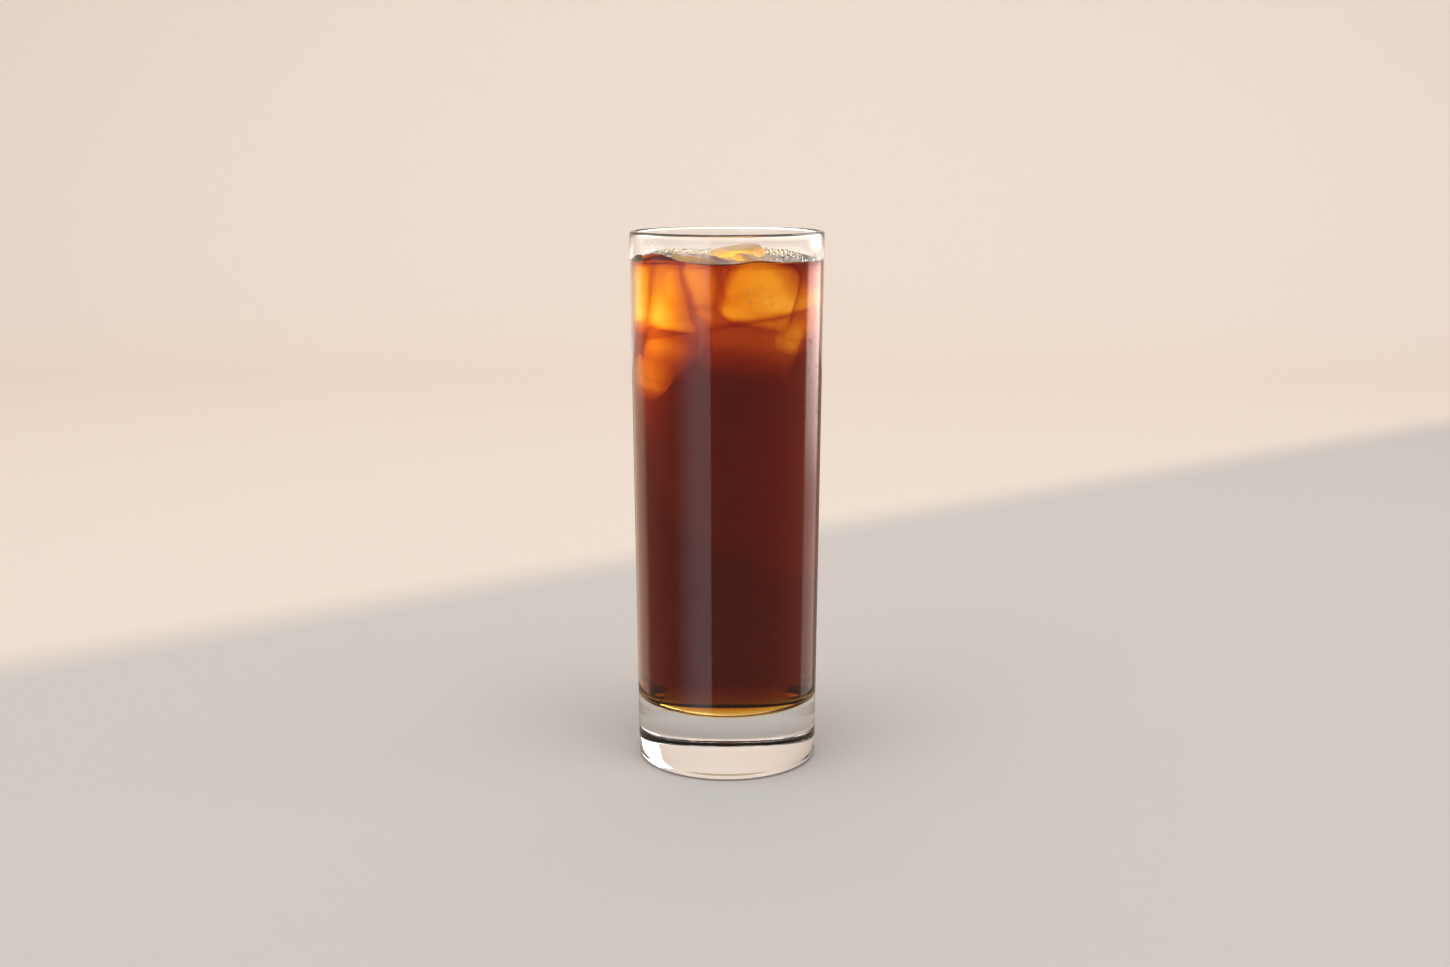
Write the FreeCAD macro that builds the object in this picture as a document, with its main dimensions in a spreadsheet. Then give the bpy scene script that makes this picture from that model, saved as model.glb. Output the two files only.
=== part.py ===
"""Iced coffee in a tall straight-sided highball glass, with ice breaking its surface.

Millimetres, +Z up. The origin is the middle of the circle the glass stands on.

Pieces, each a solid of its own:
  glass      tapered tumbler with a thick clear base, a round-cornered well and a fire-rounded rim
  coffee     the drink, up to its level, cut round the ice that breaks its surface
  ice_left   melted cube against the wall, left of the middle
  ice_right  melted cube against the wall, right of the middle, leaning
  ice_back   melted cube behind them, whose corner stands highest out of the drink
"""

import FreeCAD, Part
import os

import Sketcher

doc = FreeCAD.newDocument("iced_coffee")

# ---------------------------------------------------------------- driving dimensions

GLASS_SIZES = {
    "glass_height": 176.0,
    "rim_radius": 31.5,         # outside, at the rim
    "base_radius": 29.8,        # outside, at the foot, before its heel is rounded
    "rim_wall": 2.0,            # wall at the rim
    "well_wall": 2.5,           # wall at the well's floor
    "floor_height": 20.4,       # clear base under the well
    "well_corner": 4.0,         # rounding between the well's floor and its wall
    "heel_round": 2.2,          # rounding of the foot's outer edge
    "rim_round": 0.9,           # rounding of both edges of the rim
    "ring_width": 4.5,          # flat ring the glass stands on, inside the heel
    "punt_depth": 0.8,          # hollow under the base, inside that ring
}

DRINK_SIZES = {
    "fill_drop": 9.0,           # drink's level below the rim
    "ice_wall_gap": 0.5,        # clear drink between the ice and the wall
    "ice_edge_share": 0.13,     # melted rounding of a cube's edges, as a share of the ice's reach
}

# A cube is placed and sized by what the well leaves it: every value but the angles is a
# share of the ice's reach, the free radius of the well less the wall gap.
# rise is how far the cube's middle lies above the level (below it where negative).
ICE_CUBES = {
    "ice_left": {
        "x": -0.445, "y": -0.435, "rise": -0.36,
        "width": 0.6, "depth": 0.62, "tall": 0.84,
        "draft": 3.0, "yaw": -30.0, "pitch": 4.0, "roll": -5.0,
    },
    "ice_right": {
        "x": 0.33, "y": -0.415, "rise": -0.355,
        "width": 0.72, "depth": 0.72, "tall": 0.72,
        "draft": 2.5, "yaw": 12.0, "pitch": 16.0, "roll": 5.0,
    },
    "ice_back": {
        "x": 0.1, "y": 0.45, "rise": -0.32,
        "width": 0.86, "depth": 0.78, "tall": 0.80,
        "draft": 4.0, "yaw": -12.0, "pitch": -14.0, "roll": 8.0,
    },
}


def make_sheet():
    """Put every driving dimension in a spreadsheet cell of its own name."""
    sheet = doc.addObject("Spreadsheet::Sheet", "Sizes")
    values = {**GLASS_SIZES, **DRINK_SIZES}
    for cube, shares in ICE_CUBES.items():
        values.update({f"{cube}_{name}": value for name, value in shares.items()})
    for row, (alias, value) in enumerate(values.items(), start=1):
        sheet.set(f"A{row}", alias)
        sheet.set(f"B{row}", str(value))
        sheet.setAlias(f"B{row}", alias)
    doc.recompute()
    return sheet


SHEET = make_sheet()

# ---------------------------------------------------------------- sizes worked out from them

LEVEL = "(Sizes.glass_height - Sizes.fill_drop)"
MOUTH_RADIUS = "(Sizes.rim_radius - Sizes.rim_wall)"
FLOOR_RADIUS = "(Sizes.base_radius - Sizes.well_wall)"


def well_radius(height):
    """Expression for the well's radius at a height above the table."""
    share = f"({height} - Sizes.floor_height) / (Sizes.glass_height - Sizes.floor_height)"
    return f"({FLOOR_RADIUS} + ({MOUTH_RADIUS} - {FLOOR_RADIUS}) * {share})"


# The ice lies within one mouth radius below the level, where the well is narrowest or widest.
ICE_FOOT = f"({LEVEL} - {MOUTH_RADIUS})"
ICE_REACH = f"(min({well_radius(LEVEL)}; {well_radius(ICE_FOOT)}) - Sizes.ice_wall_gap)"

# ---------------------------------------------------------------- helpers


def origin_plane(body, role):
    """One of a body's own origin planes, such as XZ_Plane."""
    return next(item for item in body.Origin.OriginFeatures if item.Role == role)


def origin_axis(body, role):
    """One of a body's own origin axes, such as Z_Axis."""
    return next(item for item in body.Origin.OriginFeatures if item.Role == role)


def new_body(label):
    body = doc.addObject("PartDesign::Body", label)
    body.Label = label
    return body


def outline_sketch(body, name, corners):
    """Closed straight-sided outline on the body's XZ plane.

    Each corner is a pair of expressions, the distance from the Z axis and the height."""
    sketch = body.newObject("Sketcher::SketchObject", name)
    sketch.AttachmentSupport = [(origin_plane(body, "XZ_Plane"), "")]
    sketch.MapMode = "FlatFace"
    probe = [tuple(measure(text) for text in corner) for corner in corners]
    points = [FreeCAD.Vector(across, up, 0) for across, up in probe]
    count = len(points)
    for index in range(count):
        sketch.addGeometry(Part.LineSegment(points[index], points[(index + 1) % count]), False)
    for index in range(count):
        sketch.addConstraint(
            Sketcher.Constraint("Coincident", index, 2, (index + 1) % count, 1))
    for index, (across, up) in enumerate(corners):
        place_corner(sketch, name, index, probe[index], across, up)
    return sketch


def place_corner(sketch, name, index, probe, across, up):
    """Pin one corner of an outline to its two expressions."""
    origin = (-1, 1)
    for kind, value, text in (("DistanceX", probe[0], across), ("DistanceY", probe[1], up)):
        if text == "0":
            axis = -2 if kind == "DistanceX" else -1
            sketch.addConstraint(Sketcher.Constraint("PointOnObject", index, 1, axis))
            continue
        number = sketch.addConstraint(
            Sketcher.Constraint(kind, origin[0], origin[1], index, 1, value))
        label = f"{name}_{index}_{kind}"
        sketch.renameConstraint(number, label)
        sketch.setExpression(f"Constraints.{label}", text)


def measure(text):
    """Value of an expression over the sheet, in millimetres."""
    return float(SHEET.evalExpression(text))


def revolve(body, sketch, name, kind="PartDesign::Revolution"):
    """Turn an outline fully about the body's Z axis, adding to or cutting the body."""
    feature = body.newObject(kind, name)
    feature.Profile = sketch
    feature.ReferenceAxis = (origin_axis(body, "Z_Axis"), [""])
    feature.Angle = 360
    sketch.Visibility = False
    doc.recompute()
    return feature


def circle_edges(feature, radius, height):
    """Names of a feature's circular edges of one radius at one height."""
    close = 1e-4
    names = []
    for number, edge in enumerate(feature.Shape.Edges, start=1):
        if edge.Degenerated or not isinstance(edge.Curve, Part.Circle):
            continue
        curve = edge.Curve
        if abs(curve.Radius - radius) < close and abs(curve.Center.z - height) < close:
            names.append(f"Edge{number}")
    return names


def round_edges(body, base, names, radius, name):
    """Fillet named edges of a feature by a radius given as an expression."""
    fillet = body.newObject("PartDesign::Fillet", name)
    fillet.Base = (base, names)
    fillet.setExpression("Radius", radius)
    doc.recompute()
    return fillet


def well_outline(body, name, top):
    """Outline of the well's space, from its floor to a height, before its corner is rounded."""
    return outline_sketch(body, name, [
        ("0", "Sizes.floor_height"),
        (FLOOR_RADIUS, "Sizes.floor_height"),
        (well_radius(top), top),
        ("0", top),
    ])


# ---------------------------------------------------------------- glass


def make_glass():
    """Tumbler: a solid tapered blank, with its well and the hollow under its base cut out."""
    body = new_body("glass")
    blank = outline_sketch(body, "blank_outline", [
        ("0", "0"),
        ("Sizes.base_radius", "0"),
        ("Sizes.rim_radius", "Sizes.glass_height"),
        ("0", "Sizes.glass_height"),
    ])
    revolve(body, blank, "blank")
    revolve(body, well_outline(body, "well_outline", "Sizes.glass_height"), "well",
            "PartDesign::Groove")

    ring_inner = "(Sizes.base_radius - Sizes.heel_round - Sizes.ring_width)"
    hollow = body.newObject("Sketcher::SketchObject", "punt_outline")
    draw_punt(body, hollow, ring_inner)
    punt = revolve(body, hollow, "punt", "PartDesign::Groove")

    corner = circle_edges(punt, measure(FLOOR_RADIUS), measure("Sizes.floor_height"))
    step = round_edges(body, punt, corner, "Sizes.well_corner", "well_corner")
    heel = circle_edges(step, measure("Sizes.base_radius"), 0.0)
    step = round_edges(body, step, heel, "Sizes.heel_round", "heel")
    rim = circle_edges(step, measure("Sizes.rim_radius"), measure("Sizes.glass_height"))
    rim += circle_edges(step, measure(MOUTH_RADIUS), measure("Sizes.glass_height"))
    round_edges(body, step, rim,
                "min(Sizes.rim_round; 0.45 * Sizes.rim_wall)", "rim")
    return body


def draw_punt(body, sketch, ring_inner):
    """Hollow under the base: a shallow arc from the standing ring up to the middle."""
    sketch.AttachmentSupport = [(origin_plane(body, "XZ_Plane"), "")]
    sketch.MapMode = "FlatFace"
    reach = measure(ring_inner)
    depth = measure("Sizes.punt_depth")
    dome_radius = (reach ** 2 + depth ** 2) / (2 * depth)
    middle = FreeCAD.Vector(0, 0, 0)
    edge = FreeCAD.Vector(reach, 0, 0)
    crown = FreeCAD.Vector(0, depth, 0)
    dome_centre = FreeCAD.Vector(0, depth - dome_radius, 0)
    circle = Part.Circle(dome_centre, FreeCAD.Vector(0, 0, 1), dome_radius)
    arc = Part.ArcOfCircle(circle, circle.parameter(edge), circle.parameter(crown))
    sketch.addGeometry(Part.LineSegment(middle, edge), False)
    sketch.addGeometry(arc, False)
    sketch.addGeometry(Part.LineSegment(crown, middle), False)
    sketch.addConstraint(Sketcher.Constraint("Coincident", 0, 2, 1, 1))
    sketch.addConstraint(Sketcher.Constraint("Coincident", 1, 2, 2, 1))
    sketch.addConstraint(Sketcher.Constraint("Coincident", 2, 2, 0, 1))
    sketch.addConstraint(Sketcher.Constraint("Coincident", 0, 1, -1, 1))
    sketch.addConstraint(Sketcher.Constraint("PointOnObject", 0, 2, -1))
    sketch.addConstraint(Sketcher.Constraint("PointOnObject", 1, 2, -2))
    sketch.addConstraint(Sketcher.Constraint("PointOnObject", 1, 3, -2))
    for label, geometry, point, kind, value, text in (
            ("ring_inner", 0, 2, "DistanceX", reach, ring_inner),
            ("punt_depth", 2, 1, "DistanceY", depth, "Sizes.punt_depth")):
        number = sketch.addConstraint(Sketcher.Constraint(kind, -1, 1, geometry, point, value))
        sketch.renameConstraint(number, label)
        sketch.setExpression(f"Constraints.{label}", text)


# ---------------------------------------------------------------- ice


def make_ice(label):
    """Melted cube: a block narrowing upwards, with every edge rounded, turned and leaned."""
    body = new_body(label)

    def share(name):
        return f"(Sizes.{label}_{name} * {ICE_REACH})"

    foot = rectangle_sketch(body, f"{label}_foot", share("width"), share("depth"))
    foot.setExpression("AttachmentOffset.Base.z", f"-0.5 * {share('tall')}")
    doc.recompute()
    block = body.newObject("PartDesign::Pad", f"{label}_block")
    block.Profile = foot
    block.setExpression("Length", share("tall"))
    block.setExpression("TaperAngle", f"-1 * Sizes.{label}_draft")
    foot.Visibility = False
    doc.recompute()
    edges = [f"Edge{number + 1}" for number in range(len(block.Shape.Edges))]
    round_edges(body, block, edges, f"Sizes.ice_edge_share * {ICE_REACH}", f"{label}_melt")

    place = (f"create(<<vector>>; {share('x')}; {share('y')}; {LEVEL} + {share('rise')})")
    turn = (f"create(<<rotation>>; Sizes.{label}_yaw; Sizes.{label}_pitch; "
            f"Sizes.{label}_roll)")
    body.setExpression("Placement", f"create(<<placement>>; {place}; {turn})")
    return body


def rectangle_sketch(body, name, width, depth):
    """Rectangle centred on the body's XY plane, sized by two expressions."""
    sketch = body.newObject("Sketcher::SketchObject", name)
    sketch.AttachmentSupport = [(origin_plane(body, "XY_Plane"), "")]
    sketch.MapMode = "FlatFace"
    half_x = measure(width) / 2
    half_y = measure(depth) / 2
    corners = [FreeCAD.Vector(x, y, 0)
               for x, y in ((-half_x, -half_y), (half_x, -half_y), (half_x, half_y), (-half_x, half_y))]
    for index in range(4):
        sketch.addGeometry(Part.LineSegment(corners[index], corners[(index + 1) % 4]), False)
    for index in range(4):
        sketch.addConstraint(Sketcher.Constraint("Coincident", index, 2, (index + 1) % 4, 1))
    for index, kind in enumerate(("Horizontal", "Vertical", "Horizontal", "Vertical")):
        sketch.addConstraint(Sketcher.Constraint(kind, index))
    sketch.addConstraint(Sketcher.Constraint("Symmetric", 0, 1, 1, 2, -1, 1))
    for label, line, value, text in (("width", 0, 2 * half_x, width),
                                     ("depth", 1, 2 * half_y, depth)):
        number = sketch.addConstraint(Sketcher.Constraint("Distance", line, value))
        sketch.renameConstraint(number, label)
        sketch.setExpression(f"Constraints.{label}", text)
    return sketch


# ---------------------------------------------------------------- coffee


def make_coffee(ice_bodies):
    """The drink fills the well, corner and all, up to its level, round the ice in it."""
    fill = new_body("fill")
    block = revolve(fill, well_outline(fill, "fill_outline", LEVEL), "fill_block")
    corner = circle_edges(block, measure(FLOOR_RADIUS), measure("Sizes.floor_height"))
    round_edges(fill, block, corner, "Sizes.well_corner", "fill_corner")
    ice = doc.addObject("Part::MultiFuse", "all_ice")
    ice.Shapes = ice_bodies
    coffee = doc.addObject("Part::Cut", "coffee")
    coffee.Base = fill
    coffee.Tool = ice
    coffee.Label = "coffee"
    doc.recompute()
    return coffee


# ---------------------------------------------------------------- model, tests and files


def check(nodes):
    """Stop if any object failed or any piece isn't one sound solid."""
    for item in doc.Objects:
        if {"Invalid", "Error"} & set(item.State):
            raise RuntimeError(f"{item.Name} failed: {item.State}")
    for node in nodes:
        if node.Shape.isNull() or not node.Shape.isValid():
            raise RuntimeError(f"{node.Label} has no sound shape")
        if len(node.Shape.Solids) != 1:
            raise RuntimeError(f"{node.Label} has {len(node.Shape.Solids)} solids")


glass = make_glass()
ice_cubes = [make_ice(label) for label in ICE_CUBES]
coffee = make_coffee(ice_cubes)
doc.recompute()
nodes = [glass, coffee] + ice_cubes
check(nodes)

os.makedirs("parts", exist_ok=True)
for node in nodes:
    node.Shape.exportStep(f"parts/{node.Label}.step")
    box = node.Shape.BoundBox
    print(f"{node.Label:10s} volume {node.Shape.Volume / 1000:8.2f} cm3, "
          f"x {box.XMin:.2f}..{box.XMax:.2f}, y {box.YMin:.2f}..{box.YMax:.2f}, "
          f"z {box.ZMin:.2f}..{box.ZMax:.2f}")
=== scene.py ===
"""Iced coffee in a tall highball glass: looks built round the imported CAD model.

Metres, +Z up, the glass standing on z = 0. Sizes come from the frame; lengths named here are
written in millimetres times MM. An azimuth is in degrees round the glass: 0 is the front,
towards the camera, and positive is to the camera's right.
"""

import math
import random

import bmesh
import bpy
import numpy as np
from mathutils import Euler, Matrix, Vector, noise
from mathutils.bvhtree import BVHTree


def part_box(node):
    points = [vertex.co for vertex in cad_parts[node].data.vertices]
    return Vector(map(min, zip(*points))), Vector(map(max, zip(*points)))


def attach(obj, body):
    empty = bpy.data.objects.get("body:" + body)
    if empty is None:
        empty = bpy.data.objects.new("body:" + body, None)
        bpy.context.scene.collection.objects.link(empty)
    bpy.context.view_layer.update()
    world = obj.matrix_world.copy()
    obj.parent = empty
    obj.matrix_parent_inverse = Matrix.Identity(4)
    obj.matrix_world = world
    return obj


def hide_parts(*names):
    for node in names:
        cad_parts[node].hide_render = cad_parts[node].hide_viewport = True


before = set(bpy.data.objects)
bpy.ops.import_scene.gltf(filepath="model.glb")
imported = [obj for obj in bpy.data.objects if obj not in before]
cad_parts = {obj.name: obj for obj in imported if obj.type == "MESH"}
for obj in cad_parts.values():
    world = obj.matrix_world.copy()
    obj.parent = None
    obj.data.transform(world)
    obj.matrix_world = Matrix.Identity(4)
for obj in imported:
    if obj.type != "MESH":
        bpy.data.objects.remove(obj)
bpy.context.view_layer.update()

MM = 0.001
SEED = 11

# ------------------------------------------------------------------ sizes from the frame

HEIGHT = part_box("glass")[1].z
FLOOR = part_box("coffee")[0].z          # the well's floor
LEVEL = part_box("coffee")[1].z          # the drink's level at the wall

# Rounded places of the glass, as in the CAD model.
WELL_CORNER = 4.0 * MM
HEEL_ROUND = 2.2 * MM
RIM_ROUND = 0.9 * MM
RING_WIDTH = 4.5 * MM
PUNT_DEPTH = 0.8 * MM
PUNT_SHOULDER = 5                      # how late the hollow underneath turns down to its ring

# How finely the turned skins are divided.
TURNS = 240                            # round the glass and the drink
PUNT_RINGS = 24
HEEL_STEPS = 10
WALL_RINGS = 24
RIM_STEPS = 8
DRY_RINGS = 5                          # on the inner wall, above the drink
WET_RINGS = 30                         # on the inner wall, under the drink's surface
CORNER_STEPS = 12
SURFACE_RINGS = 44


def widest(label, low, high):
    """Widest vertex of a CAD node between two heights, as (radius, height)."""
    return max((v.co.xy.length, v.co.z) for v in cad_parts[label].data.vertices
               if low <= v.co.z <= high)


def straight(first, second):
    """The radius as a function of height along a straight wall through two spots."""
    (r0, z0), (r1, z1) = first, second
    return lambda z: r0 + (r1 - r0) * (z - z0) / (z1 - z0)


outer_radius = straight(widest("glass", 0, HEIGHT / 4), widest("glass", 0.9 * HEIGHT, HEIGHT))
well_radius = straight(widest("coffee", FLOOR, FLOOR + 1.2 * WELL_CORNER),
                       widest("coffee", LEVEL - 0.1 * MM, LEVEL))
LEVEL_RADIUS = well_radius(LEVEL)

# ------------------------------------------------------------------ node and mesh helpers


def material(name):
    """New empty node material, with its tree and its output."""
    made = bpy.data.materials.new(name)
    made.use_nodes = True
    tree = made.node_tree
    tree.nodes.clear()
    return made, tree, tree.nodes.new("ShaderNodeOutputMaterial")


def node(tree, kind, **values):
    """Node of a kind. A value is for the node's own setting of that name or else its input."""
    made = tree.nodes.new(kind)
    for key, value in values.items():
        if hasattr(made, key):
            setattr(made, key, value)
        else:
            made.inputs[key.replace("_", " ")].default_value = value
    return made


def smooth(data):
    """Shade every face of a mesh smooth."""
    data.polygons.foreach_set("use_smooth", [True] * len(data.polygons))


def shown(name, data):
    """Smooth-shaded object of a mesh, linked to the scene."""
    smooth(data)
    made = bpy.data.objects.new(name, data)
    bpy.context.scene.collection.objects.link(made)
    return made


def mesh_object(name, verts, faces):
    """Smooth-shaded object of a new mesh, linked to the scene."""
    data = bpy.data.meshes.new(name)
    data.from_pydata([tuple(v) for v in verts], [], faces)
    data.update()
    return shown(name, data)


def modified(obj, kind, **settings):
    """Give an object one modifier and keep its result as the mesh."""
    modifier = obj.modifiers.new(kind.lower(), kind)
    for key, value in settings.items():
        setattr(modifier, key, value)
    graph = bpy.context.evaluated_depsgraph_get()
    data = bpy.data.meshes.new_from_object(obj.evaluated_get(graph))
    obj.modifiers.clear()
    obj.data = data
    return obj


def cut_by(obj, tool, operation):
    """Cut a closed skin by another closed skin."""
    return modified(obj, "BOOLEAN", operation=operation, solver="MANIFOLD", object=tool)


def coordinates(data):
    """The vertices of a mesh as rows (x, y, z)."""
    spots = np.empty(len(data.vertices) * 3)
    data.vertices.foreach_get("co", spots)
    return spots.reshape(-1, 3)


def normals(data):
    """The vertex normals of a mesh as rows (x, y, z)."""
    directions = np.empty(len(data.vertices) * 3)
    data.vertex_normals.foreach_get("vector", directions)
    return directions.reshape(-1, 3)


def move_to(data, spots):
    """Move the vertices of a mesh to new places."""
    data.vertices.foreach_set("co", np.asarray(spots).ravel())
    data.update()


def grown(obj, name, by):
    """Copy of a closed skin moved out (or in) along its normals."""
    made = shown(name, obj.data.copy())
    move_to(made.data, coordinates(obj.data) + by * normals(obj.data))
    return made


def lathe(rings, bottom, top):
    """Vertices and faces of a turned skin.

    A ring is a list of TURNS (radius, height); bottom and top are heights on the axis."""
    verts = [Vector((r * math.cos(2 * math.pi * turn / TURNS),
                     r * math.sin(2 * math.pi * turn / TURNS), z))
             for ring in rings for turn, (r, z) in enumerate(ring)]
    faces = []
    for ring in range(len(rings) - 1):
        for turn in range(TURNS):
            a, b = ring * TURNS + turn, ring * TURNS + (turn + 1) % TURNS
            faces.append((a, b, b + TURNS, a + TURNS))
    verts += [Vector((0, 0, bottom)), Vector((0, 0, top))]
    last = (len(rings) - 1) * TURNS
    for turn in range(TURNS):
        after = (turn + 1) % TURNS
        faces.append((len(verts) - 2, after, turn))
        faces.append((len(verts) - 1, last + turn, last + after))
    return verts, faces


def arc(centre, radius, start, end, steps):
    """Spots (radius, height) along an arc, by angles from the level outward direction."""
    spots = []
    for step in range(steps + 1):
        angle = math.radians(start + (end - start) * step / steps)
        spots.append((centre[0] + radius * math.cos(angle), centre[1] + radius * math.sin(angle)))
    return spots


def dress(obj, *finishes):
    """Give an object these materials and no others; all its faces take the first."""
    obj.data.materials.clear()
    for finish in finishes:
        obj.data.materials.append(finish)


# ------------------------------------------------------------------ materials

# What two clear things meet with bends light by the ratio of their indices, so skins under
# the drink have materials of their own.
GLASS_INDEX = 1.5
DRINK_INDEX = 1.33
DRY_ICE_INDEX = 1.2                    # less than solid ice's 1.31, for a softer look
FREE = "free_surface"                  # 1 on faces of the drink that meet air, 0 elsewhere


def clear_material(name, index, roughness=0.0, spread=0.0, wave=None, taken=None,
                   tint=(1, 1, 1)):
    """Clear body with an uneven gloss, a gently wavy skin and what it takes per metre.

    spread is how much rougher it gets in places, wave is (waves per metre, height), and
    taken is the red, green and blue light that a metre of it absorbs."""
    made, tree, out = material(name)
    shader = node(tree, "ShaderNodeBsdfPrincipled", Base_Color=(*tint, 1), Roughness=roughness,
                  IOR=index, Transmission_Weight=1.0)
    tree.links.new(shader.outputs[0], out.inputs["Surface"])
    place = node(tree, "ShaderNodeTexCoord")
    if spread:
        film = node(tree, "ShaderNodeTexNoise", Scale=90.0, Detail=4.0)
        tree.links.new(place.outputs["Object"], film.inputs["Vector"])
        span = node(tree, "ShaderNodeMapRange", From_Min=0.4, From_Max=0.75,
                    To_Min=roughness, To_Max=roughness + spread)
        tree.links.new(film.outputs["Fac"], span.inputs["Value"])
        tree.links.new(span.outputs["Result"], shader.inputs["Roughness"])
    if wave:
        swell = node(tree, "ShaderNodeTexNoise", Scale=wave[0], Detail=1.0)
        tree.links.new(place.outputs["Object"], swell.inputs["Vector"])
        bump = node(tree, "ShaderNodeBump", Strength=1.0, Distance=wave[1])
        tree.links.new(swell.outputs["Fac"], bump.inputs["Height"])
        tree.links.new(bump.outputs["Normal"], shader.inputs["Normal"])
    if taken:
        density = 1.02 * max(taken)    # a little over, so that no part of the colour is 0
        colour = [1 - part / density for part in taken]
        volume = node(tree, "ShaderNodeVolumeAbsorption", Color=(*colour, 1), Density=density)
        tree.links.new(volume.outputs[0], out.inputs["Volume"])
    return made


def bend_only_at_free_surface(drink):
    """The drink bends light where it meets air; glass and ice do that where they meet it."""
    tree = drink.node_tree
    shader = next(n for n in tree.nodes if n.type == "BSDF_PRINCIPLED")
    free = node(tree, "ShaderNodeAttribute", attribute_name=FREE)
    index = node(tree, "ShaderNodeMapRange", To_Min=1.0, To_Max=DRINK_INDEX)
    tree.links.new(free.outputs["Fac"], index.inputs["Value"])
    tree.links.new(index.outputs["Result"], shader.inputs["IOR"])


GLASS = clear_material("glass", GLASS_INDEX, spread=0.01, wave=(30.0, 0.02 * MM))
WET_GLASS = clear_material("glass_wet", GLASS_INDEX / DRINK_INDEX, spread=0.01)
COFFEE = clear_material("coffee", 1.0, taken=(45.0, 112.0, 345.0))
bend_only_at_free_surface(COFFEE)
ICE = clear_material("ice", DRY_ICE_INDEX, roughness=0.1, spread=0.15, wave=(260.0, 0.05 * MM),
                     tint=(1.0, 0.88, 0.72))
WET_ICE = clear_material("ice_wet", 1.0)
DROPLET = clear_material("droplet", DRINK_INDEX)
BUBBLE = clear_material("bubble", DRINK_INDEX)

# ------------------------------------------------------------------ ice

FLOATING_ICE = ("ice_left", "ice_right", "ice_back")
ICE_REACH = LEVEL_RADIUS - 0.5 * MM    # as in the CAD model: cubes are placed by shares of it
ICE_EDGE = 0.13                        # melted rounding, a share of the reach
ICE_DRAFT = math.radians(3)            # the taper of the tray's moulds

# Sunk cubes: middle (x, y, height above the level) and size (x, y, z), all shares of the
# reach, and the turn about x, y and z in degrees.
SUNK_ICE = {
    "ice_sunk_back_left": ((-0.60, 0.38, -0.42), (0.62, 0.76, 0.84), (6, -8, 24)),
    "ice_sunk_right": ((0.76, 0.00, -0.44), (0.42, 0.70, 0.90), (8, 24, -14)),
    "ice_sunk_far_left": ((-0.86, -0.20, -0.34), (0.30, 0.38, 0.72), (4, 6, 12)),
    "ice_sunk_low_left": ((-0.50, -0.10, -0.98), (0.50, 1.05, 0.50), (20, 10, -20)),
    "ice_sunk_lowest": ((-0.70, -0.14, -1.26), (0.46, 0.92, 0.46), (-16, 24, -10)),
    "ice_sunk_low_back": ((0.14, 0.10, -0.88), (0.95, 0.80, 0.62), (34, 10, 8)),
    "ice_sunk_under_right": ((0.66, -0.36, -0.82), (0.40, 0.42, 0.40), (12, 24, -28)),
    "ice_sunk_front_left": ((-0.34, -0.76, -0.22), (0.66, 0.32, 0.46), (14, 4, -22)),
    "ice_sunk_front_right": ((0.26, -0.76, -0.16), (0.90, 0.26, 0.36), (34, -6, 14)),
}
VOXEL = 0.6 * MM
SMOOTHING = 0.6
WOBBLE = 0.55 * MM                     # how deep melting dents the ice
DENTS, FINE_DENTS = 95, 330            # per metre, roughly
FINE_SHARE = 0.35                      # depth of the fine dents, a share of the wobble
AIR_LINE = LEVEL + 1.6 * MM            # the air flattens the tips of the ice above this height
AIR_MELT = 0.5                         # share of its height that a tip keeps above that
ICE_GAP = 0.4 * MM                     # drink left between neighbouring cubes
WALL_GAP = 0.7 * MM                    # drink left between sunk cubes and the glass
COVER = 0.6 * MM                       # drink left over sunk cubes
BULK_DROP = 1.1 * MM                   # flat drink below the line it climbs to at the wall


def remeshed(obj, rounds):
    """Give an object an even mesh, smoothed over so many times."""
    modified(obj, "REMESH", mode="VOXEL", voxel_size=VOXEL, use_smooth_shade=True)
    modified(obj, "SMOOTH", factor=SMOOTHING, iterations=rounds)


def melted(obj, seed):
    """Melt a block: rounder, with soft dents and bulges, and flatter where it stands in air."""
    remeshed(obj, 26)
    shift = Vector((7.3, 3.1, 5.7)) * seed
    spots, out = coordinates(obj.data), normals(obj.data)
    push = [noise.noise(Vector(spot) * DENTS + shift)
            + FINE_SHARE * noise.noise(Vector(spot) * FINE_DENTS + shift) for spot in spots]
    spots = spots + WOBBLE * np.array(push)[:, None] * out
    tips = spots[:, 2] > AIR_LINE
    spots[tips, 2] = AIR_LINE + AIR_MELT * (spots[tips, 2] - AIR_LINE)
    move_to(obj.data, spots)
    return obj


def rounded_block(name, size, edge, draft):
    """Block centred on the origin, narrowing upwards, with rounded edges."""
    bm = bmesh.new()
    bmesh.ops.create_cube(bm, size=1.0)
    top = 1 - 4 * size[2] * math.tan(draft) / (size[0] + size[1])
    for v in bm.verts:
        scale = top if v.co.z > 0 else 1.0
        v.co = Vector((v.co.x * size[0] * scale, v.co.y * size[1] * scale, v.co.z * size[2]))
    bmesh.ops.bevel(bm, geom=bm.edges[:], offset=edge, segments=5, profile=0.5, affect="EDGES")
    data = bpy.data.meshes.new(name)
    bm.to_mesh(data)
    bm.free()
    return shown(name, data)


def sunk_cube(name, spot, size, turn):
    """Unmelted cube at its place in the drink, by a row of SUNK_ICE."""
    cube = rounded_block(name, [part * ICE_REACH for part in size], ICE_EDGE * ICE_REACH,
                         ICE_DRAFT)
    pose = Euler([math.radians(angle) for angle in turn]).to_matrix().to_4x4()
    place = Vector((spot[0] * ICE_REACH, spot[1] * ICE_REACH, LEVEL + spot[2] * ICE_REACH))
    cube.data.transform(Matrix.Translation(place) @ pose)
    return cube


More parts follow.
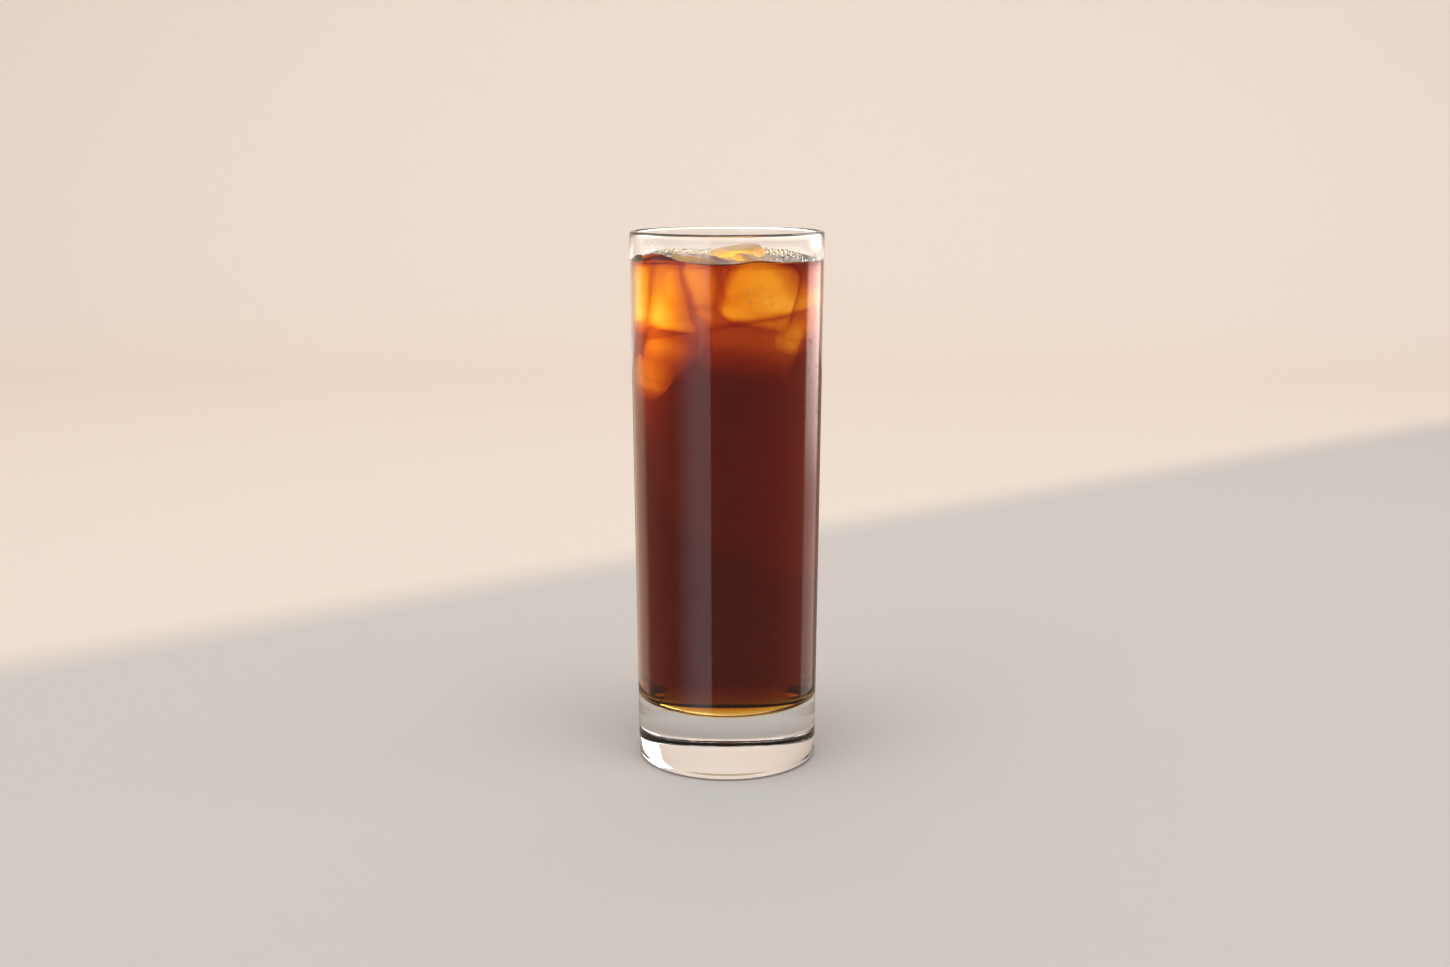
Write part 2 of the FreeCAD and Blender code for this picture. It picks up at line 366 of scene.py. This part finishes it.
def ice_room():
    """The space that sunk ice keeps to: clear of the wall and of the drink's surface."""
    low, high = FLOOR + WELL_CORNER, LEVEL - BULK_DROP - COVER
    rings = [[(well_radius(z) - WALL_GAP, z)] * TURNS for z in (low, high)]
    return mesh_object("ice_room", *lathe(rings, low, high))


def part_cubes():
    """Keep sunk cubes in their room, and clear of the cubes placed before them."""
    room = ice_room()
    placed = list(floating.values())
    for cube in sunk.values():
        cut_by(cube, room, "INTERSECT")
        for other in placed:
            taken = grown(other, "taken", ICE_GAP)
            cut_by(cube, taken, "DIFFERENCE")
            bpy.data.objects.remove(taken)
        remeshed(cube, 12)
        placed.append(cube)
    bpy.data.objects.remove(room)


floating = {label: melted(shown(f"{label}_melted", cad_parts[label].data.copy()), seed)
            for seed, label in enumerate(FLOATING_ICE, start=1)}
sunk = {label: melted(sunk_cube(label, *facts), seed)
        for seed, (label, facts) in enumerate(SUNK_ICE.items(), start=11)}
part_cubes()

# ------------------------------------------------------------------ the drink's surface

CLIMB_REACH = 2.2 * MM                 # how far from the wall the climb dies away
ICE_CLIMB = {"ice_left": 2.4 * MM, "ice_right": 1.0 * MM, "ice_back": 0.9 * MM}
ICE_CLIMB_REACH = 3.4 * MM
RIPPLE = 0.12 * MM
RIPPLES = 160                          # per metre, roughly

# Swells of the waterline where ice crowds the wall: azimuth, half width in degrees, height.
SWELLS = ((-66, 9, 1.7 * MM), (-44, 13, 2.3 * MM), (20, 11, 0.9 * MM), (150, 30, 0.8 * MM),
          (-135, 25, 1.0 * MM))
SWELL_REACH = 9.0 * MM

ice_trees = {label: BVHTree.FromObject(cube, bpy.context.evaluated_depsgraph_get())
             for label, cube in floating.items()}


def surface_height(x, y):
    """Height of the drink's surface: it climbs at the wall and up the ice near by."""
    off_wall = max(LEVEL_RADIUS - math.hypot(x, y), 0)
    z = LEVEL - BULK_DROP + BULK_DROP * math.exp(-off_wall / CLIMB_REACH)
    azimuth = math.degrees(math.atan2(x, -y))
    for middle, half, high in SWELLS:
        away = (azimuth - middle + 180) % 360 - 180
        z += high * math.exp(-(away / half) ** 2 - off_wall / SWELL_REACH)
    for label, tree in ice_trees.items():
        gap = tree.find_nearest(Vector((x, y, LEVEL)))[3]
        z += ICE_CLIMB[label] * math.exp(-(gap / ICE_CLIMB_REACH) ** 1.5)
    return z + RIPPLE * noise.noise(Vector((x, y, 0)) * RIPPLES)


def around(radius):
    """(radius, surface height) at each turn of a circle."""
    ring = []
    for turn in range(TURNS):
        angle = 2 * math.pi * turn / TURNS
        ring.append((radius, surface_height(radius * math.cos(angle), radius * math.sin(angle))))
    return ring


waterline = [height for _, height in around(LEVEL_RADIUS)]

# ------------------------------------------------------------------ glass


def well_spots(further=0.0):
    """The well's outline from the middle of its floor to the top of its rounded corner.

    further is how far inside the glass it lies."""
    centre = (well_radius(FLOOR) - WELL_CORNER, FLOOR + WELL_CORNER)
    spots = [(centre[0] * share, FLOOR - further) for share in (0.25, 0.5, 0.75)]
    return spots + arc(centre, WELL_CORNER + further, -90, 0, CORNER_STEPS)


def wall_rings(start, end, count, further=0.0):
    """Rings along the well's wall, after its start and up to its end: heights at each turn."""
    rings = []
    for step in range(1, count + 1):
        share = step / count
        heights = [a + (b - a) * share for a, b in zip(start, end)]
        rings.append([(well_radius(z) + further, z) for z in heights])
    return rings


def glass_rings():
    """Rings of the glass's skin, up the outside and down the well, and which is the waterline."""
    ring_inner = outer_radius(0) - HEEL_ROUND - RING_WIDTH
    shares = [step / PUNT_RINGS for step in range(1, PUNT_RINGS + 1)]
    outline = [(ring_inner * share, PUNT_DEPTH * (1 - share ** PUNT_SHOULDER))
               for share in shares]
    low, high = HEEL_ROUND, HEIGHT - RIM_ROUND
    outline += arc((outer_radius(low) - HEEL_ROUND, low), HEEL_ROUND, -90, 0, HEEL_STEPS)
    heights = [low + (high - low) * step / WALL_RINGS for step in range(1, WALL_RINGS)]
    outline += [(outer_radius(z), z) for z in heights]
    outline += arc((outer_radius(HEIGHT) - RIM_ROUND, high), RIM_ROUND, 0, 90, RIM_STEPS)
    outline += arc((well_radius(HEIGHT) + RIM_ROUND, high), RIM_ROUND, 90, 180, RIM_STEPS)
    rings = [[spot] * TURNS for spot in outline]
    rings += wall_rings([high] * TURNS, waterline, DRY_RINGS)
    at_waterline = len(rings) - 1
    rings += wall_rings(waterline, [FLOOR + WELL_CORNER] * TURNS, WET_RINGS)[:-1]
    rings += [[spot] * TURNS for spot in reversed(well_spots())]
    return rings, at_waterline


def make_glass():
    """The glass, with a material of its own where the drink wets it."""
    rings, at_waterline = glass_rings()
    glass = mesh_object("glass_tumbler", *lathe(rings, PUNT_DEPTH, FLOOR))
    dress(glass, GLASS, WET_GLASS)
    for face in glass.data.polygons:
        if min(face.vertices) >= at_waterline * TURNS:
            face.material_index = 1
    glass.data.set_sharp_from_angle(angle=math.radians(50))
    return glass


tumbler = make_glass()
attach(tumbler, "root")
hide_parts("glass")

# ------------------------------------------------------------------ coffee

WALL_OVERLAP = 0.3 * MM                # how far the drink reaches into the glass
ICE_OVERLAP = 0.1 * MM                 # how far ice and drink each reach into the other
WELD = 0.001 * MM                      # vertices nearer than this become one


def coffee_body():
    """Closed body of the drink before the ice is cut out; its free surface is material 1."""
    rings = [[spot] * TURNS for spot in well_spots(WALL_OVERLAP)]
    rings += wall_rings([FLOOR + WELL_CORNER] * TURNS, waterline, WET_RINGS, WALL_OVERLAP)
    first_top = (len(rings) - 1) * TURNS
    rings.append([(well_radius(z), z) for z in waterline])
    rings += [around(LEVEL_RADIUS * (1 - (step / SURFACE_RINGS) ** 1.3))
              for step in range(1, SURFACE_RINGS)]
    verts, faces = lathe(rings, FLOOR - WALL_OVERLAP, surface_height(0, 0))
    bottom = len(verts) - 2
    body = mesh_object("coffee_drink", verts, faces)
    dress(body, COFFEE, ICE)           # the second only marks faces, for mark_free_surface
    for face in body.data.polygons:
        corners = list(face.vertices)
        if min(corners) >= first_top and bottom not in corners:
            face.material_index = 1
    return body


def cut_ice_out(body):
    """Cut a cavity for each cube, and let the cube reach a little past it."""
    for label, cube in {**floating, **sunk}.items():
        hole = grown(cube, f"{label}_hole", -ICE_OVERLAP)
        dress(hole, COFFEE)
        cut_by(body, hole, "DIFFERENCE")
        bpy.data.objects.remove(hole)
        move_to(cube.data, coordinates(cube.data) + ICE_OVERLAP * normals(cube.data))


def mark_free_surface(body):
    """Turn the mark of the free surface from a material index into an attribute."""
    free = np.zeros(len(body.data.polygons), dtype=np.int32)
    body.data.polygons.foreach_get("material_index", free)
    mark = body.data.attributes.new(FREE, "FLOAT", "FACE")
    mark.data.foreach_set("value", free.astype(float))
    dress(body, COFFEE)
    smooth(body.data)
    body.data.set_sharp_from_angle(angle=math.radians(40))


def keep_faces(obj, wanted):
    """Delete the faces of an object whose material index isn't the wanted one."""
    bm = bmesh.new()
    bm.from_mesh(obj.data)
    bmesh.ops.delete(bm, geom=[f for f in bm.faces if f.material_index != wanted],
                     context="FACES")
    bm.to_mesh(obj.data)
    bm.free()


def split_at_surface(cube, drink):
    """Ice skin in two materials, dry above the drink's surface and wet under it."""
    halves = []
    for number, operation in enumerate(("DIFFERENCE", "INTERSECT")):
        half = shown(f"half_{operation}", cube.data.copy())
        dress(half, ICE, COFFEE)
        cut_by(half, drink, operation)
        keep_faces(half, 0)
        dress(half, ICE, WET_ICE)
        half.data.polygons.foreach_set("material_index", [number] * len(half.data.polygons))
        halves.append(half)
    bm = bmesh.new()
    for half in halves:
        bm.from_mesh(half.data)
    bmesh.ops.remove_doubles(bm, verts=bm.verts, dist=WELD)
    dress(cube, ICE, WET_ICE)
    bm.to_mesh(cube.data)
    bm.free()
    smooth(cube.data)
    for half in halves:
        bpy.data.objects.remove(half)


coffee = coffee_body()
whole_drink = shown("whole_drink", coffee.data.copy())
dress(whole_drink, COFFEE)
cut_ice_out(coffee)
mark_free_surface(coffee)
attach(coffee, "root")
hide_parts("coffee")

for label, cube in floating.items():
    split_at_surface(cube, whole_drink)
    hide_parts(label)
for cube in sunk.values():
    dress(cube, WET_ICE)
for cube in (*floating.values(), *sunk.values()):
    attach(cube, "root")
bpy.data.objects.remove(whole_drink)

# ------------------------------------------------------------------ bubbles and droplets

# Patches of bubbles: azimuth, half width in degrees, and how many are tried.
FROTH = ((-130, 40, 190), (134, 38, 170), (180, 24, 30), (-30, 16, 8), (48, 14, 8))
FROTH_WIDTH = 1.5 * MM                 # how far from the wall most bubbles lie
BUBBLE_SIZES = (0.25, 0.32, 0.4, 0.5, 0.65)              # radii in millimetres
BUBBLE_RISE = 0.6                      # how high its middle floats, in radii

# Patches of droplets: azimuth, height in millimetres, half width in degrees, half height in
# millimetres, and how many are tried.
CONDENSATION = ((-15, 146, 3, 7, 60), (57, 139, 3, 8, 70), (70, 124, 3, 9, 60),
                (20, 157, 7, 4, 16), (140, 150, 9, 12, 60), (-120, 140, 9, 14, 60),
                (-60, 128, 5, 8, 20), (100, 110, 5, 12, 30))
DROPLET_SIZES = (0.16, 0.2, 0.26, 0.38)                  # radii in millimetres
DROPLET_FLATNESS = 0.5                 # its thickness as a share of its width
DROPLET_SINK = 0.03 * MM               # how deep in the glass its middle lies


def beads(name, spots, finish):
    """One mesh of small round beads: each spot is (centre, radius, flattening, outward)."""
    ball = bmesh.new()
    bmesh.ops.create_icosphere(ball, subdivisions=2, radius=1.0)
    round_verts = np.array([v.co for v in ball.verts])
    round_faces = [[v.index for v in f.verts] for f in ball.faces]
    ball.free()
    verts, faces = [], []
    for centre, radius, flat, outward in spots:
        along = round_verts @ np.array(outward)
        pressed = round_verts - (1 - flat) * along[:, None] * np.array(outward)
        first = len(verts)
        verts.extend(np.array(centre) + radius * pressed)
        faces.extend([[first + k for k in face] for face in round_faces])
    made = mesh_object(name, verts, faces)
    dress(made, finish)
    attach(made, "root")


def bead_size(chance, sizes):
    """Radius of a bead: one of the sizes, give or take a fifth."""
    return chance.choice(sizes) * MM * chance.uniform(0.8, 1.2)


def apart(spots, centre, radius):
    """Whether a bead clears all beads so far."""
    return all((Vector(centre) - Vector(other)).length > radius + size
               for other, size, _, _ in spots)


def froth():
    """Bubbles along the wall where the drink meets it, most of them at the back and sides."""
    chance = random.Random(SEED)
    spots = []
    for middle, half, count in FROTH:
        for _ in range(count):
            azimuth = math.radians(chance.gauss(middle, half / 2))
            radius = bead_size(chance, BUBBLE_SIZES)
            off_wall = radius + 0.12 * MM + abs(chance.gauss(0, FROTH_WIDTH))
            reach = LEVEL_RADIUS - off_wall
            x, y = reach * math.sin(azimuth), -reach * math.cos(azimuth)
            centre = (x, y, surface_height(x, y) + BUBBLE_RISE * radius)
            clear = min(tree.find_nearest(Vector(centre))[3] for tree in ice_trees.values())
            if clear > radius + 0.2 * MM and apart(spots, centre, radius):
                spots.append((centre, radius, 1.0, (0, 0, 1)))
    beads("bubbles", spots, BUBBLE)


def condensation():
    """Fine droplets in patches on the outside of the glass."""
    chance = random.Random(SEED + 1)
    spots = []
    for middle, z, half, tall, count in CONDENSATION:
        for _ in range(count):
            azimuth = math.radians(chance.gauss(middle, half / 2))
            height = chance.gauss(z, tall / 2) * MM
            radius = bead_size(chance, DROPLET_SIZES)
            outward = (math.sin(azimuth), -math.cos(azimuth), 0)
            reach = outer_radius(height) - DROPLET_SINK
            centre = (reach * outward[0], reach * outward[1], height)
            if apart(spots, centre, radius):
                spots.append((centre, radius, DROPLET_FLATNESS, outward))
    beads("droplets", spots, DROPLET)


froth()
condensation()

# ------------------------------------------------------------------ studio

# The floor's grey gives way to the backdrop's cream along a soft line that runs behind the
# glass: its distance from the glass, its slant and its softness.
LINE_AT = 0.25
LINE_SLANT = math.radians(36.6)
LINE_SOFT = 0.03
FLOOR_GREY = (208, 204, 200)           # 8-bit screen colours
BACKDROP_CREAM = (238, 225, 214)

# The floor curves up through a cove into a wall.
STUDIO_FRONT = -8.0
STUDIO_SIDE = 6.0
COVE_AT = 1.0
COVE_RADIUS = 0.6
COVE_STEPS = 24
WALL_TOP = 6.0


def linear(colour):
    """Linear colour of an 8-bit screen colour, opaque."""
    shares = [part / 255 for part in colour]
    return (*(share / 12.92 if share <= 0.04045 else ((share + 0.055) / 1.055) ** 2.4
              for share in shares), 1)


def studio_material():
    """Matt grey that turns to cream across the soft line."""
    made, tree, out = material("studio")
    shader = node(tree, "ShaderNodeBsdfDiffuse")
    tree.links.new(shader.outputs[0], out.inputs["Surface"])
    place = node(tree, "ShaderNodeTexCoord")
    across = node(tree, "ShaderNodeVectorMath", operation="DOT_PRODUCT")
    across.inputs[1].default_value = (-math.sin(LINE_SLANT), math.cos(LINE_SLANT), 0)
    tree.links.new(place.outputs["Object"], across.inputs[0])
    step = node(tree, "ShaderNodeMapRange", interpolation_type="SMOOTHSTEP",
                From_Min=LINE_AT - LINE_SOFT, From_Max=LINE_AT + LINE_SOFT)
    tree.links.new(across.outputs["Value"], step.inputs["Value"])
    blend = node(tree, "ShaderNodeMix", data_type="RGBA", A=linear(FLOOR_GREY),
                 B=linear(BACKDROP_CREAM))
    tree.links.new(step.outputs["Result"], blend.inputs["Factor"])
    tree.links.new(blend.outputs["Result"], shader.inputs["Color"])
    return made


def make_studio():
    """Floor, cove and wall in one sheet."""
    profile = [(STUDIO_FRONT, 0.0)]
    profile += arc((COVE_AT, COVE_RADIUS), COVE_RADIUS, -90, 0, COVE_STEPS)
    profile.append((COVE_AT + COVE_RADIUS, WALL_TOP))
    verts = [(x, y, z) for y, z in profile for x in (-STUDIO_SIDE, STUDIO_SIDE)]
    faces = [(2 * k, 2 * k + 1, 2 * k + 3, 2 * k + 2) for k in range(len(profile) - 1)]
    studio = mesh_object("studio", verts, faces)
    dress(studio, studio_material())


def softbox(name, azimuth, distance, height, width, tall, power, aim=(0, 0, 0.1)):
    """Area light on a circle round the glass, facing a spot."""
    lamp = bpy.data.lights.new(name, "AREA")
    lamp.shape = "RECTANGLE"
    lamp.size, lamp.size_y = width, tall
    lamp.energy = power
    made = bpy.data.objects.new(name, lamp)
    bpy.context.scene.collection.objects.link(made)
    turn = math.radians(azimuth)
    made.location = (distance * math.sin(turn), -distance * math.cos(turn), height)
    look = Vector(aim) - made.location
    made.rotation_euler = look.to_track_quat("-Z", "Y").to_euler()
    made.visible_camera = False
    return made


make_studio()
key = softbox("key_left", azimuth=-42, distance=1.2, height=0.9, width=0.75, tall=1.1,
              power=1.6)
key.visible_glossy = False
back = softbox("back_right", azimuth=128, distance=0.9, height=0.55, width=0.55, tall=0.9,
               power=6.0)
back.visible_diffuse = False
softbox("wall_wash", azimuth=20, distance=0.3, height=1.9, width=1.4, tall=1.0, power=16,
        aim=(0.7, 1.5, 0.5))

# ------------------------------------------------------------------ glowing cards round the glass: painted reflections and painted backlight

CARD_DISTANCE = 0.09
CARD_COLUMNS, CARD_ROWS = 48, 24
RAY_KINDS = ("camera", "diffuse", "glossy", "transmission", "volume_scatter", "shadow")

# The painted dark reflection, a glowing dark sheet round the glass: brightness (a share of its
# colour) by distance from the glass.
SURROUND = ((0.034, 1.0), (1.2, 1.0), (2.6, 1.1), (4.0, 1.5), (5.8, 2.2))
DARK_REFLECTION_COLOUR = (0.34, 0.26, 0.20)
SURROUND_COLUMNS = 64
SURROUND_LIFT = 0.2 * MM               # above the floor


def glowing(name, colour, sheer):
    """Material that glows by a mesh's own glow attribute, over what is behind it if sheer."""
    made, tree, out = material(name)
    glow = node(tree, "ShaderNodeAttribute", attribute_name="glow")
    shader = node(tree, "ShaderNodeEmission", Color=(*colour, 1))
    tree.links.new(glow.outputs["Fac"], shader.inputs["Strength"])
    if sheer:
        both = node(tree, "ShaderNodeAddShader")
        tree.links.new(shader.outputs[0], both.inputs[0])
        tree.links.new(node(tree, "ShaderNodeBsdfTransparent").outputs[0], both.inputs[1])
        shader = both
    tree.links.new(shader.outputs[0], out.inputs["Surface"])
    made.cycles.emission_sampling = "NONE"
    return made


def glowing_sheet(name, verts, faces, glows, colour, seen_in, sheer=True):
    """Sheet with a brightness at each vertex, which only one kind of ray sees."""
    sheet = mesh_object(name, verts, faces)
    sheet.data.attributes.new("glow", "FLOAT", "POINT").data.foreach_set("value", glows)
    dress(sheet, glowing(name, colour, sheer))
    for kind in RAY_KINDS:
        setattr(sheet, f"visible_{kind}", kind == seen_in)


def card(name, azimuths, heights, glow, colour, seen_in):
    """Curved glowing sheet round the glass, no lamp, seen only in reflections or only through the
    glass: a painted reflection or a painted backlight.

    glow is its brightness as a function of azimuth and height."""
    verts, faces, glows = [], [], []
    for row in range(CARD_ROWS + 1):
        z = heights[0] + (heights[1] - heights[0]) * row / CARD_ROWS
        for column in range(CARD_COLUMNS + 1):
            azimuth = azimuths[0] + (azimuths[1] - azimuths[0]) * column / CARD_COLUMNS
            turn = math.radians(azimuth)
            verts.append((CARD_DISTANCE * math.sin(turn), -CARD_DISTANCE * math.cos(turn), z))
            glows.append(glow(azimuth, z))
    for row in range(CARD_ROWS):
        for column in range(CARD_COLUMNS):
            first = row * (CARD_COLUMNS + 1) + column
            above = first + CARD_COLUMNS + 1
            faces.append((first, first + 1, above + 1, above))
    glowing_sheet(name, verts, faces, glows, colour, seen_in)


def ramp(value, start, end):
    """0 at start, 1 at end, smooth between and level beyond; end may be the lower one."""
    share = min(max((value - start) / (end - start), 0), 1)
    return share * share * (3 - 2 * share)


def band(value, start, full, fade, end):
    """Rises from start to full and falls from fade to end."""
    return ramp(value, start, full) * ramp(value, end, fade)


def left_glow(azimuth, z):
    """Painted reflection: a stripe down the left of the front, and a faint one at the top of the
    left edge.
    """
    stripe = 0.9 * ramp(azimuth, -60, -26)
    return stripe + 0.5 * ramp(azimuth, -92, -76) * ramp(z, 0.147, 0.162)


def left_edge_glow(azimuth, z):
    """Painted reflection: soft light along the left edge, as high as the drink."""
    return 0.75 * band(azimuth, -150, -140, -108, -96) * ramp(z, 0.168, 0.158)


def right_glow(azimuth, z):
    """A painted reflection: a stripe along the right edge, brighter upwards, as high as the
    drink.
    """
    upwards = 0.8 + 1.5 * ramp(z, 0.075, 0.11) + 1.6 * ramp(z, 0.105, 0.14)
    return upwards * band(azimuth, 91, 97, 122, 130) * ramp(z, 0.165, 0.157)


def rim_glow(azimuth, z):
    """The painted glint at the right of the empty rim."""
    return 5.0 * band(azimuth, 88, 104, 114, 132) * band(z, 0.162, 0.172, 0.178, 0.185)


def back_glow(azimuth, z):
    """Painted backlight seen through the ice. The full glass swaps left and right, like a lens.
    """
    faint = 0.1 * ramp(z, 0.06, 0.09)
    upper = 1.45 * ramp(z, 0.108, 0.150) * (1 - 0.54 * band(azimuth, 174, 184, 194, 204))
    lower = 1.1 * band(z, 0.09, 0.118, 0.135, 0.150) * ramp(azimuth, 178, 168)
    return (faint + upper + lower) * ramp(z, 0.164, 0.160) * band(azimuth, 140, 160, 210, 222)


def make_painted_dark_reflection():
    """Painted dark reflection: a dark glowing sheet round the glass that only reflections see, so
    that the drink stays deep.
    """
    columns = SURROUND_COLUMNS
    verts = [(r * math.cos(2 * math.pi * k / columns), r * math.sin(2 * math.pi * k / columns),
              SURROUND_LIFT) for r, _ in SURROUND for k in range(columns)]
    faces = []
    for inner in range(0, columns * (len(SURROUND) - 1), columns):
        outer = inner + columns
        for k in range(columns):
            after = (k + 1) % columns
            faces.append((inner + k, inner + after, outer + after, outer + k))
    glows = [glow for _, glow in SURROUND for _ in range(columns)]
    glowing_sheet("painted_dark_reflection", verts, faces, glows, DARK_REFLECTION_COLOUR, "glossy", sheer=False)


# Sheets that glow but are no lamps: painted reflections and a painted glint on the glass, and a
# painted backlight seen through the ice.
card("painted_reflection_left", (-92, -16), (0.0, 0.19), left_glow, (0.98, 1.0, 1.08), "glossy")
card("painted_reflection_left_edge", (-150, -96), (0.0, 0.168), left_edge_glow, (1.0, 0.74, 0.56),
     "glossy")
card("painted_reflection_right", (91, 130), (0.0, 0.165), right_glow, (1.0, 0.84, 0.80), "glossy")
card("painted_glint_rim", (88, 132), (0.160, 0.185), rim_glow, (1.0, 0.96, 0.92), "glossy")
card("backlight", (138, 222), (0.06, 0.164), back_glow, (1.0, 0.84, 0.68), "transmission")
make_painted_dark_reflection()

# ------------------------------------------------------------------ world and camera

SKY = (1.0, 0.98, 0.965)
SKY_STRENGTH = 0.74
EYE = (0, -0.5467, 0.200)
EYE_TILT = 11.087                      # degrees downwards
LENS = 41.68                           # millimetres, like the sensor's width
SENSOR = 36
SIDEWAYS = -0.00138                    # share of the frame's width


def make_world():
    """Even light from all round."""
    world = bpy.data.worlds.new("studio")
    world.use_nodes = True
    background = world.node_tree.nodes["Background"]
    background.inputs["Color"].default_value = (*SKY, 1)
    background.inputs["Strength"].default_value = SKY_STRENGTH
    bpy.context.scene.world = world


def make_camera():
    """Camera in front of the glass, a little above it and looking down at it."""
    eye = bpy.data.cameras.new("camera")
    eye.sensor_width = SENSOR
    eye.lens = LENS
    eye.shift_x = SIDEWAYS
    eye.clip_start = 0.01
    camera = bpy.data.objects.new("camera", eye)
    bpy.context.scene.collection.objects.link(camera)
    camera.location = EYE
    camera.rotation_euler = (math.radians(90 - EYE_TILT), 0, 0)
    bpy.context.scene.camera = camera


make_world()
make_camera()

scene = bpy.context.scene
scene.view_settings.view_transform = "Standard"
scene.cycles.max_bounces = 32
scene.cycles.transmission_bounces = 32
scene.cycles.glossy_bounces = 8
